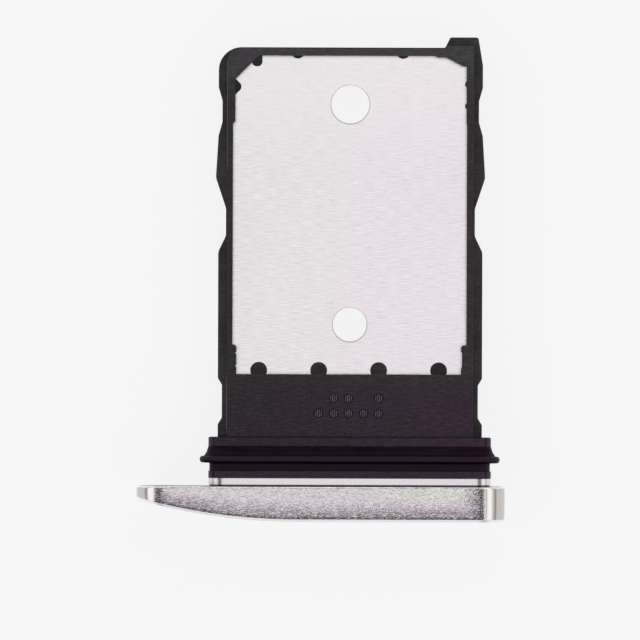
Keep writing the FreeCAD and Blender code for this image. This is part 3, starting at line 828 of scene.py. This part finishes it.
@dataclass(frozen=True)
class MouldedPlastic:
    """Glass-filled black plastic with a fine grain along X and a few pale specks."""

    left_tone: Colour = (0.0340, 0.0205, 0.0318)
    right_tone: Colour = (0.0465, 0.0220, 0.0465)
    flange_tone: Colour = (0.0660, 0.0394, 0.0660)
    left_rail_tone: Colour = (0.0343, 0.0320, 0.0350)
    right_rail_tone: Colour = (0.0450, 0.0415, 0.0385)
    far_tone: Colour = (0.0860, 0.0885, 0.0930)
    far_violet_tone: Colour = (0.0700, 0.0590, 0.0700)
    ledge_painted_light_tone: Colour = (0.0720, 0.0625, 0.0635)
    cloud_tone: Colour = (0.0273, 0.0260, 0.0260)
    streak_tone: Colour = (0.0152, 0.0114, 0.0152)
    pit_tone: Colour = (0.0038, 0.0013, 0.0038)
    speck_tone: Colour = (0.1143, 0.1041, 0.1143)
    painted_edge_highlight_tone: Colour = (0.1905, 0.1905, 0.1841)
    flange_far: float = 0.7
    body_start: float = 1.95
    rail_start: float = 4.0
    far_start: float = 15.8
    low_level: float = 0.20
    dimple_floor_painted_shade: Point = (0.41, 0.475)
    flange_foot_painted_shade: Point = (1.89, 1.94)
    # Painted highlights: pale lines along the rim's left edge and along a notch's edge.
    flash: tuple[PaintedHighlightLine, ...] = (
        PaintedHighlightLine((-4.870, -4.825), (2.2, 4.3), 0.45),
        PaintedHighlightLine((-4.870, -4.825), (12.4, 16.7), 0.45),
        PaintedHighlightLine((4.995, 5.040), (2.95, 3.75), -0.05),
    )
    touch: Touch = Touch(0.42, 0.25, 0.010, 0.7, specular=0.2)

    def material(self) -> bpy.types.Material:
        """Build the finish's node tree.

        Returns:
            The material.
        """
        shader = Shader("moulded_plastic")
        flow = shader.noise((0.34, 0.045, 0.045), 3.0)
        pores = shader.noise((0.07, 0.06, 0.06), 2.0, 4.0)
        drift = shader.noise((1.6, 0.9, 0.9), 2.0, 9.0)
        specks = shader.noise((0.06, 0.045, 0.045), 0.0, 21.0).above(0.80, 0.03)
        across, along, level = (shader.along(axis) for axis in "XYZ")
        rails = shader.mix(across.above(0.0, 2.0), self.left_rail_tone, self.right_rail_tone)
        far = shader.mix(drift.above(0.48, 0.10), self.far_violet_tone, self.far_tone)
        past_flange = along.above(self.body_start, 0.02)
        colour = shader.layers(
            self.left_tone,
            (across.above(-0.5, 4.0), self.right_tone),
            (along.below(self.flange_far, 0.05), self.flange_tone),
            (along.above(self.rail_start, 0.7), rails),
            (along.above(self.far_start, 1.1), far),
            # Painted light: the low ledges past the flange are lightened to make up for the shade the
            # walls throw on them.
            (level.below(self.low_level, 0.10) * past_flange, self.ledge_painted_light_tone),
            (drift.above(0.52, 0.16) * 0.5 * past_flange, self.cloud_tone),
            (flow.below(0.45, 0.13) * 0.45, self.streak_tone),
            (flow.above(0.58, 0.10) * 0.20, self.speck_tone),
            # Painted shade: the dimples' floors and the corner at the flange's foot are darkened.
            (level.within(*self.dimple_floor_painted_shade, 0.004), self.pit_tone),
            (along.within(*self.flange_foot_painted_shade, 0.01) * 0.75, self.pit_tone),
        )
        # Painted highlights along edges that would catch the side lamps.
        for line in self.flash:
            mask = across.within(*line.across, 0.008) * along.within(*line.along, 0.2)
            mask = mask * level.above(line.least_level, 0.02) * pores.above(0.42, 0.12)
            colour = shader.mix(mask, colour, self.painted_edge_highlight_tone)
        colour = shader.mix(specks * 0.7, colour, self.speck_tone)
        return shader.surface(self.touch, colour, flow, flow * 0.6 + pores * 0.4)


@dataclass(frozen=True)
class RibPlastic:
    """The same plastic on the dimples' ribs, with a pale painted sheen."""

    tone: Colour = (0.150, 0.115, 0.145)
    dim_sheen_tone: Colour = (0.085, 0.064, 0.082)
    touch: Touch = Touch(0.35, 0.2, 0.004, 0.5, specular=0.3)

    def material(self) -> bpy.types.Material:
        """Build the finish's node tree.

        Returns:
            The material.
        """
        shader = Shader("ribs_painted_sheen")
        sheen_mottle = shader.noise((0.05, 0.08, 0.05), 1.0, 6.0)
        # Painted sheen: the ribs are much paler than the plastic round them, mottled by noise.
        colour = shader.mix(sheen_mottle.above(0.5, 0.2), self.dim_sheen_tone, self.tone)
        return shader.surface(self.touch, colour, sheen_mottle, sheen_mottle)


@dataclass(frozen=True)
class SealRubber:
    """Soft purple-black silicone, with painted light on its lip, painted shade on its far slope and in its
    two corners, and pale streaks.
    """

    tone: Colour = (0.0337, 0.0159, 0.0330)
    painted_slope_shade_tone: Colour = (0.0108, 0.0032, 0.0108)
    lip_painted_light_and_streak_tone: Colour = (0.0305, 0.0165, 0.0305)
    painted_corner_shade_tone: Colour = (0.0038, 0.0006, 0.0038)
    lip: Point = (1.00, 1.20)
    far_corner: Point = (1.185, 1.235)
    near_corner: Point = (0.87, 0.985)
    touch: Touch = Touch(0.36, 0.2, 0.008, 0.6, specular=0.05)

    def material(self) -> bpy.types.Material:
        """Build the finish's node tree.

        Returns:
            The material.
        """
        shader = Shader("seal_rubber")
        lines = shader.noise((1.2, 0.035, 0.25), 2.0, 13.0)
        bloom = shader.noise((0.8, 0.3, 0.5), 2.0, 15.0)
        along = shader.along("Y")
        corners = along.within(*self.far_corner, 0.01).most(along.within(*self.near_corner, 0.015))
        colour = shader.layers(
            self.tone,
            # Painted shade on the far slope, and painted light on the lip, which faces up.
            (along.above(self.far_corner[1], 0.01), self.painted_slope_shade_tone),
            (along.within(*self.lip, 0.015), self.lip_painted_light_and_streak_tone),
            (lines.above(0.58, 0.10) * 0.35, self.lip_painted_light_and_streak_tone),
            (bloom.above(0.58, 0.15) * 0.25, self.lip_painted_light_and_streak_tone),
            # Painted shade in the two corners at the lip's roots.
            (corners, self.painted_corner_shade_tone),
        )
        return shader.surface(self.touch, colour, lines, lines * 0.6 + bloom * 0.4)


# Sub-assemblies


@dataclass
class EndCap:
    """Aluminium cap with its curved outer face, its pinhole, its neck and its hidden tongue."""

    left: float = -8.36
    right: float = 6.09
    half_height: float = 1.135
    thickness: float = 1.39
    ear_thickness: float = 0.53
    curve_start: float = -2.10
    front_edge: float = 0.10
    back_edge: float = 0.08
    edge_band: float = 0.02
    edge_steps: int = 5
    end_rounding: float = 0.15
    neck_half: float = 5.54
    neck_height: float = 0.585
    neck_length: float = 0.34
    relief: Point = (0.05, 0.04)
    crown: tuple[Point, ...] = ((0.60, 0.0), (0.35, 0.004), (0.20, 0.010), (0.12, 0.017), (0.10, 0.020))
    crown_room: float = 0.9
    end_band: float = 0.2
    face_rings: tuple[float, ...] = (0.4, 0.8)
    chamfer_lean: Point = (0.35, 0.93)
    pinhole: Point = (-7.33, 0.52)
    pinhole_mouth: float = 0.06
    pinhole_steps: int = 72
    slope_step: float = 0.1
    drill: Point = (-2.0, 1.0)
    sink_past: float = 0.44
    tongue: Triple = (4.30, 0.20, 3.00)
    tongue_overlap: float = 0.1
    anchors: Triple = (2.90, 2.30, 0.40)
    anchor_steps: int = 40
    anchor_cut: float = 0.5

    def face_level(self, x: float) -> float:
        """Y of the outer face at a place along the cap.

        Args:
            x: The place.

        Returns:
            The level: flat to the right of the curve's start, one large arc to the left of it.
        """
        if x >= self.curve_start:
            return -self.thickness
        run = self.curve_start - self.left
        fall = self.thickness - self.ear_thickness
        radius = (run * run + fall * fall) / (2 * fall)
        return radius - self.thickness - math.sqrt(radius**2 - (x - self.curve_start) ** 2)

    def back_rounding(self, x: float) -> float:
        """Size of the back edge's rounding, which grows towards the two round ends.

        Args:
            x: The place along the cap.

        Returns:
            The radius.
        """
        past = max(self.left + self.half_height - x, x - self.right + self.half_height, 0.0)
        growth = (past / self.half_height) ** 2
        return self.back_edge + (self.end_rounding - self.back_edge) * growth

    def crown_ring(self, bar: Stadium, distance: float, drop: float) -> list[Vector]:
        """One ring of the bar's last stretch before the cut chamfer, which falls off a little.

        Args:
            bar: The bar's outline.
            distance: How far the ring lies behind the outer face.
            drop: How far the bar has fallen off there.

        Returns:
            The ring. Where the ear is thin, the rings draw together.
        """
        ring = []
        for x, z in bar.outline(drop):
            face = self.face_level(x)
            depth = -self.back_rounding(x) - face - self.front_edge
            room = depth / (self.crown[0][0] - self.front_edge)
            share = min(1.0, self.crown_room * room)
            level = face + self.front_edge + (distance - self.front_edge) * share
            ring.append(Vector((x, level, z)))
        return ring

    def shell(self) -> bpy.types.Mesh:
        """The bar and its neck as one skin.

        Returns:
            The mesh, closed at the neck's end and on the outer face's middle line.
        """
        bar = Stadium(self.left, self.right, self.half_height)
        neck = Stadium(-self.neck_half, self.neck_half, self.neck_height)
        width, depth = self.relief
        insets = (self.neck_height, self.neck_height - self.end_band, 0.0)
        steps = [(inset, self.neck_length) for inset in insets]
        steps += [(0.0, width), (depth, width), (depth, 0.0)]
        rings = [[Vector((x, level, z)) for x, z in neck.outline(inset)] for inset, level in steps]
        flat = bar.drawn_in(lambda x: self.back_rounding(x) + self.edge_band)
        rings.append([Vector((x, 0.0, z)) for x, z in flat])
        for step in range(self.edge_steps + 1):
            angle = math.pi / 2 * step / self.edge_steps
            share, fall = 1 - math.sin(angle), 1 - math.cos(angle)
            ring = bar.drawn_in(lambda x, share=share: self.back_rounding(x) * share)
            levels = [-self.back_rounding(x) * fall for x, _ in bar.outline()]
            rings.append([Vector((x, level, z)) for (x, z), level in zip(ring, levels)])
        rings += [self.crown_ring(bar, distance, drop) for distance, drop in self.crown]
        edge = self.front_edge
        for inset in (edge, edge + self.edge_band, *self.face_rings, self.half_height):
            rings.append([Vector((x, self.face_level(x), z)) for x, z in bar.outline(inset)])
        return rings_to_mesh("end_cap", rings)

    def pinhole_tools(self) -> list[bpy.types.Mesh]:
        """The drill and the countersink of the pinhole.

        Returns:
            Their meshes. The countersink stands square to the outer face.
        """
        x, radius = self.pinhole
        low, high = self.drill
        drill = [(0.0, low), (radius, low), (radius, high), (0.0, high)]
        near, far = (self.face_level(x + side * self.slope_step) for side in (-1, 1))
        outward = Vector(((far - near) / (2 * self.slope_step), -1.0, 0.0))
        mouth, past = self.pinhole_mouth, self.sink_past
        wide = radius + mouth
        sink = [(0.0, -mouth), (radius, -mouth), (wide, 0.0), (wide + past, past), (0.0, past)]
        return [
            turned("drill", drill, Vector((x, 0, 0)), Vector((0, 1, 0)), self.pinhole_steps),
            turned("sink", sink, Vector((x, self.face_level(x), 0)), outward, self.pinhole_steps),
        ]

    def tongue_mesh(self) -> bpy.types.Mesh:
        """The flat tongue, overlapping the neck.

        Returns:
            Its mesh.
        """
        half, up, far = self.tongue
        near = self.neck_length - self.tongue_overlap
        points = [(x, y, z) for x in (-half, half) for y in (near, far) for z in (-up, up)]
        faces = [(0, 1, 3, 2), (4, 6, 7, 5), (0, 4, 5, 1), (2, 3, 7, 6), (0, 2, 6, 4), (1, 5, 7, 3)]
        return mesh_of("tongue", points, faces=faces)

    def build(self, *finishes: bpy.types.Material) -> bpy.types.Object:
        """Make the cap.

        Args:
            finishes: Its materials, in the order of CapFinish.

        Returns:
            The piece.
        """
        piece = new_piece("cap", self.shell())
        for tool in self.pinhole_tools():
            cut_by(piece, tool)
        cut_by(piece, self.tongue_mesh(), "UNION")
        pitch, level, radius = self.anchors
        cut = self.anchor_cut
        profile = [(0.0, -cut), (radius, -cut), (radius, cut), (0.0, cut)]
        for x in (-pitch, 0.0, pitch):
            place = Vector((x, level, 0))
            cut_by(piece, turned("anchor", profile, place, Vector((0, 0, 1)), self.anchor_steps))
        weld(piece)
        piece.data.materials.clear()
        for material in finishes:
            piece.data.materials.append(material)
        for face in piece.data.polygons:
            face.material_index = self.finish_of(face)
        insets = [v.co.y - self.face_level(v.co.x) for v in piece.data.vertices]
        piece.data.attributes.new(FRONT_INSET, "FLOAT", "POINT").data.foreach_set("value", insets)
        return finish_piece(piece, Node.END_CAP)

    def finish_of(self, face: bpy.types.MeshPolygon) -> CapFinish:
        """Which finish a face has.

        Args:
            face: The face, in millimetres.

        Returns:
            Polished for the chamfers round the outer face and the pinhole's mouth, satin for the
            outer face and for all that lies behind the bar, and grain for the rest.
        """
        x, y, _ = face.center
        outward = -face.normal.y
        by_outer_face = y < self.face_level(x) + self.front_edge + self.edge_band
        least, most = self.chamfer_lean
        if by_outer_face and least < outward < most:
            return CapFinish.POLISHED
        if y > -HAIR or (by_outer_face and outward >= most):
            return CapFinish.SATIN
        return CapFinish.GRAIN


@dataclass
class SealRing:
    """Rubber ring with a sealing lip, swept round the neck's outline."""

    half_width: float = 5.54
    half_height: float = 0.585
    near: float = 0.59
    far: float = 1.57
    floor: float = -0.28
    sink: float = -0.04
    nick: float = 0.01
    slope_middle: Triple = (0.068, 1.34, 0.08)
    slope_foot: Point = (0.18, 0.035)
    lip_near: float = 0.91
    lip_far: float = 1.17
    reach: float = 0.35
    flash: float = 0.012
    flash_half: float = 0.02
    lip_round: float = 0.105
    root_round: float = 0.06
    arc_steps: int = 24
    arc_share: float = 0.4999
    crease: float = 32.0

    def profile(self) -> list[Point]:
        """The ring's section.

        Returns:
            Distance out of the neck's surface and Y of each point.
        """
        middle = (self.lip_near + self.lip_far) / 2
        top = self.reach - self.flash
        chamfer = 2 * self.nick
        corners = (
            (self.floor, self.near, 0.0),
            (self.floor, self.far, 0.0),
            (-self.nick, self.far, 0.0),
            (0.0, self.far - self.nick, 0.0),
            self.slope_middle,
            (self.slope_foot[0], self.lip_far, self.slope_foot[1]),
            (top, self.lip_far, self.lip_round),
            (top, middle + self.flash_half, 0.0),
            (self.reach, middle, 0.0),
            (top, middle - self.flash_half, 0.0),
            (top, self.lip_near, self.lip_round),
            (self.sink, self.lip_near, self.root_round),
            (self.sink, self.near + chamfer, 0.0),
            (self.sink - chamfer, self.near, 0.0),
        )
        return rounded(corners)

    def build(self, rubber: bpy.types.Material) -> bpy.types.Object:
        """Sweep the section round the neck.

        Args:
            rubber: The ring's finish.

        Returns:
            The piece.
        """
        points = [(x, y, 0.0) for x, y in self.profile()]
        edges = [(i, (i + 1) % len(points)) for i in range(len(points))]
        piece = new_piece("seal", mesh_of("seal_section", points, edges))
        sizes = {"Width": 2 * self.half_width, "Height": 2 * self.half_height, "Arc steps": self.arc_steps}
        tree = Geometry("seal_sweep", sizes)
        section = tree.field("GeometryNodeMeshToCurve", None, {"Mesh": tree.named("Geometry")})
        height = tree.named("Height")
        values = {"Width": tree.named("Width"), "Height": height}
        path = tree.field("GeometryNodeCurvePrimitiveQuadrilateral", {"mode": "RECTANGLE"}, values)
        values = {"Curve": path, "Count": tree.named("Arc steps"), "Radius": height * self.arc_share}
        path = tree.field("GeometryNodeFilletCurve", {"mode": "POLY"}, values)
        path = tree.field("GeometryNodeSetCurveNormal", {"mode": "Z_UP"}, {"Curve": path})
        swept = tree.field("GeometryNodeCurveToMesh", None, {"Curve": path, "Profile Curve": section})
        values = {"Geometry": swept, "Distance": HAIR / 10}
        merged = tree.field("GeometryNodeMergeByDistance", None, values)
        values = {"Geometry": merged, "Rotation": (math.pi / 2, 0.0, 0.0)}
        tree.run(piece, tree.field("GeometryNodeTransform", None, values), rubber)
        weld(piece)
        return finish_piece(piece, Node.SEAL, self.crease)


@dataclass
class FineEdged:
    """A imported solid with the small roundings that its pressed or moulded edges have."""

    node: Node
    slot: Slot
    name: str
    edge: float
    rings: int = 2
    flat_angle: float = 0.6
    edge_angle: float = 30.0

    def build(self, material: bpy.types.Material) -> bpy.types.Object:
        """Copy the solid's mesh, weld it and round its edges.

        Args:
            material: The piece's finish.

        Returns:
            The piece.
        """
        shape = bmesh.new()
        shape.from_mesh(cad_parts[self.node.value].data)
        bmesh.ops.scale(shape, vec=(1 / MM,) * 3, verts=shape.verts)
        bmesh.ops.remove_doubles(shape, verts=shape.verts, dist=HAIR / 10)
        flat = math.radians(self.flat_angle)
        bmesh.ops.dissolve_limit(shape, angle_limit=flat, verts=shape.verts, edges=shape.edges)
        mesh = to_mesh(shape, bpy.data.meshes.new(self.name))
        mesh.materials.clear()
        mesh.materials.append(material)
        piece = new_piece(self.name, mesh)
        settings = {
            "width": self.edge,
            "segments": self.rings,
            "limit_method": "ANGLE",
            "angle_limit": math.radians(self.edge_angle),
            "use_clamp_overlap": True,
        }
        modify(piece, "BEVEL", settings)
        return finish_piece(piece, self.node)


@dataclass
class DimpleRibs:
    """Fine ribs that the moulding tool leaves in the body's dimples."""

    centre: float = -0.05
    first_row: float = 2.855
    pitch: float = 0.588
    floor: float = 0.45
    dimple: float = 0.38
    reach_share: float = 0.42
    ribs: int = 4
    rib_width: float = 0.054
    rib_gap: float = 0.078
    rib_sides: int = 10
    columns: tuple[tuple[int, ...], ...] = ((-2, -1, 0, 1, 2), (-1, 0, 2))
    crease: float = 50.0

    def build(self, plastic: bpy.types.Material) -> bpy.types.Object:
        """Put a set of ribs into each dimple.

        Args:
            plastic: The moulding's finish.

        Returns:
            The piece.
        """
        places = [
            (self.centre + column * self.pitch, self.first_row + row * self.pitch, self.floor)
            for row, columns in enumerate(self.columns)
            for column in columns
        ]
        piece = new_piece("dimple_ribs", mesh_of("dimple_centres", places))
        sizes = {"Ribs": self.ribs, "Gap": self.rib_gap, "Width": self.rib_width, "Dimple": self.dimple}
        tree = Geometry("dimple_ribs", sizes)
        ribs, gap, width, dimple = (tree.named(label) for label in sizes)
        first = tree.field("ShaderNodeCombineXYZ", None, {"X": (ribs - 1.0) * gap * -0.5})
        step = tree.field("ShaderNodeCombineXYZ", None, {"X": gap})
        values = {"Count": ribs, "Start Location": first, "Offset": step}
        row = tree.field("GeometryNodeMeshLine", {"mode": "OFFSET"}, values)
        ends = {"Start": (0.0, -0.5, 0.0), "End": (0.0, 0.5, 0.0)}
        line = tree.field("GeometryNodeCurvePrimitiveLine", None, ends)
        values = {"Resolution": self.rib_sides, "Radius": width * 0.5}
        section = tree.field("GeometryNodeCurvePrimitiveCircle", None, values)
        values = {"Curve": line, "Profile Curve": section, "Fill Caps": True}
        rib = tree.field("GeometryNodeCurveToMesh", None, values)
        # Each rib is as long as the dimple's chord at its place.
        place = tree.field("GeometryNodeInputPosition")
        across = tree.field("ShaderNodeSeparateXYZ", None, {"Vector": place})
        reach = dimple * self.reach_share
        chord = (reach * reach - across * across).root() * 2.0
        scale = tree.field("ShaderNodeCombineXYZ", None, {"X": 1.0, "Y": chord, "Z": 1.0})
        values = {"Points": row, "Instance": rib, "Scale": scale}
        comb = tree.field("GeometryNodeInstanceOnPoints", None, values)
        comb = tree.field("GeometryNodeRealizeInstances", None, {"Geometry": comb})
        values = {"Points": tree.named("Geometry"), "Instance": comb}
        tree.run(piece, tree.field("GeometryNodeInstanceOnPoints", None, values), plastic)
        return finish_piece(piece, crease=self.crease)


# Studio


@dataclass(frozen=True)
class Softbox:
    """A rectangular lamp that faces the tray."""

    name: str
    place: Triple
    size: Point
    level: float

    def build(self) -> None:
        """Put the lamp into the scene. Its level is the brightness of its face, where 1 is white."""
        data = bpy.data.lights.new(self.name, "AREA")
        data.shape = "RECTANGLE"
        data.size, data.size_y = self.size
        data.energy = self.level * math.pi * self.size[0] * self.size[1]
        lamp = bpy.data.objects.new(self.name, data)
        lamp.location = self.place
        lamp.rotation_euler = (-Vector(self.place)).to_track_quat("-Z", "Y").to_euler()
        lamp.visible_camera = False
        bpy.context.scene.collection.objects.link(lamp)


@dataclass
class Studio:
    """Pale floor, soft lamps and a long lens straight above the tray.

    The floor's sizes, the lamps' places and what the camera clips are in metres.
    """

    middle: Point = (-1.18, 6.51)
    view_width: float = 25.10
    lens: float = 500.0
    sensor: float = 36.0
    roll: float = 0.19
    clip: Point = (0.01, 10.0)
    floor_radius: float = 1.2
    floor_steps: int = 96
    floor_gap: float = 4e-6
    floor_tone: Colour = (0.82, 0.82, 0.82)
    floor_white: float = 0.84
    backdrop: Colour = (0.90, 0.90, 0.90)
    sky: tuple[Point, ...] = (
        (0.0, 0.58),
        (0.10, 0.40),
        (0.32, 1.0),
        (0.66, 1.0),
        (0.79, 0.15),
        (1.0, 0.15),
    )
    lamps: tuple[Softbox, ...] = (
        Softbox("top", (0.0, 0.01, 0.60), (0.27, 0.27), 0.99),
        Softbox("left", (-0.435, 0.03, 0.246), (0.30, 0.20), 0.15),
        Softbox("right", (0.405, 0.03, 0.294), (0.30, 0.25), 0.15),
        Softbox("front", (0.0, -0.42, 0.14), (0.50, 0.14), 0.25),
        Softbox("back", (0.0, 0.42, 0.25), (0.50, 0.20), 0.22),
    )

    def build(self) -> None:
        """Set up the floor, the lamps, the world and the camera."""
        self.floor()
        for lamp in self.lamps:
            lamp.build()
        self.world()
        self.camera()
        bpy.context.scene.view_settings.view_transform = "Standard"

    def floor(self) -> None:
        """A pale round floor just under the cap."""
        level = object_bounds()[0].z - self.floor_gap
        steps = self.floor_steps
        points = [(0.0, 0.0, level)] + [(x, y, level) for x, y in circle(self.floor_radius, steps)]
        faces = [(0, 1 + step, 1 + (step + 1) % steps) for step in range(steps)]
        piece = new_piece("floor", mesh_of("floor", points, faces=faces))
        shader = Shader("floor")
        rays = shader.add("ShaderNodeLightPath").outputs
        camera, glossy, through = (
            Field(shader, rays[f"Is {kind} Ray"]) for kind in ("Camera", "Glossy", "Transmission")
        )
        dull = shader.field("ShaderNodeBsdfDiffuse", None, {"Color": (*self.floor_tone, 1.0)})
        values = {"Color": (1.0, 1.0, 1.0, 1.0), "Strength": 1.0}
        pale = shader.field("ShaderNodeEmission", None, values)
        seen = (camera + glossy + through) * self.floor_white
        values = {"Fac": seen, "Shader": dull, "Shader_001": pale}
        both = shader.field("ShaderNodeMixShader", None, values)
        shader.add("ShaderNodeOutputMaterial", None, {"Surface": both})
        piece.data.materials.append(shader.material)
        piece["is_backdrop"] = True

    def world(self) -> None:
        """Light from all round: a dim horizon, a bright belt above it and a dim sky between the lamps."""
        world = bpy.data.worlds.new("studio")
        world.use_nodes = True
        tree = Tree(world.node_tree)
        way = tree.add("ShaderNodeTexCoord").outputs["Generated"]
        split = tree.add("ShaderNodeSeparateXYZ", None, {"Vector": way})
        sky = tree.field("ShaderNodeValToRGB", {"stops": self.sky}, {"Fac": split.outputs["Z"]})
        # The camera sees a plain backdrop as pale as the floor, and the tray is lit by the sky.
        seen = Field(tree, tree.add("ShaderNodeLightPath").outputs["Is Camera Ray"])
        values = {"Color": tree.mix(seen, sky, self.backdrop), "Strength": 1.0}
        light = tree.field("ShaderNodeBackground", None, values)
        tree.add("ShaderNodeOutputWorld", None, {"Surface": light})
        bpy.context.scene.world = world

    def camera(self) -> None:
        """A camera straight above, with the cap at the bottom of the picture."""
        data = bpy.data.cameras.new("camera")
        data.lens = self.lens
        data.sensor_width = self.sensor
        data.clip_start, data.clip_end = self.clip
        camera = bpy.data.objects.new("camera", data)
        height = self.view_width * MM * self.lens / self.sensor
        camera.location = (self.middle[0] * MM, self.middle[1] * MM, height)
        camera.rotation_euler = (0.0, 0.0, math.radians(self.roll))
        bpy.context.scene.collection.objects.link(camera)
        bpy.context.scene.camera = camera


def main() -> None:
    """Build the studio and the tray's pieces, and report each."""
    logging.basicConfig(level=logging.INFO, format="%(name)s: %(message)s")
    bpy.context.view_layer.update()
    Studio().build()
    finishes = (BlastedAluminium(), SatinAluminium(), PolishedAluminium())
    plate = FineEdged(Node.PLATE, Slot.STEEL, "plate", 0.022)
    moulding = FineEdged(Node.FRAME, Slot.MOULDING, "moulding", 0.024)
    pieces = (
        EndCap().build(*(finish.material() for finish in finishes)),
        plate.build(BrushedSteel().material()),
        moulding.build(MouldedPlastic().material()),
        DimpleRibs().build(RibPlastic().material()),
        SealRing().build(SealRubber().material()),
    )
    for piece in pieces:
        LOG.info("%s: %d faces", piece.name, len(piece.data.polygons))


if __name__ == "__main__":
    main()
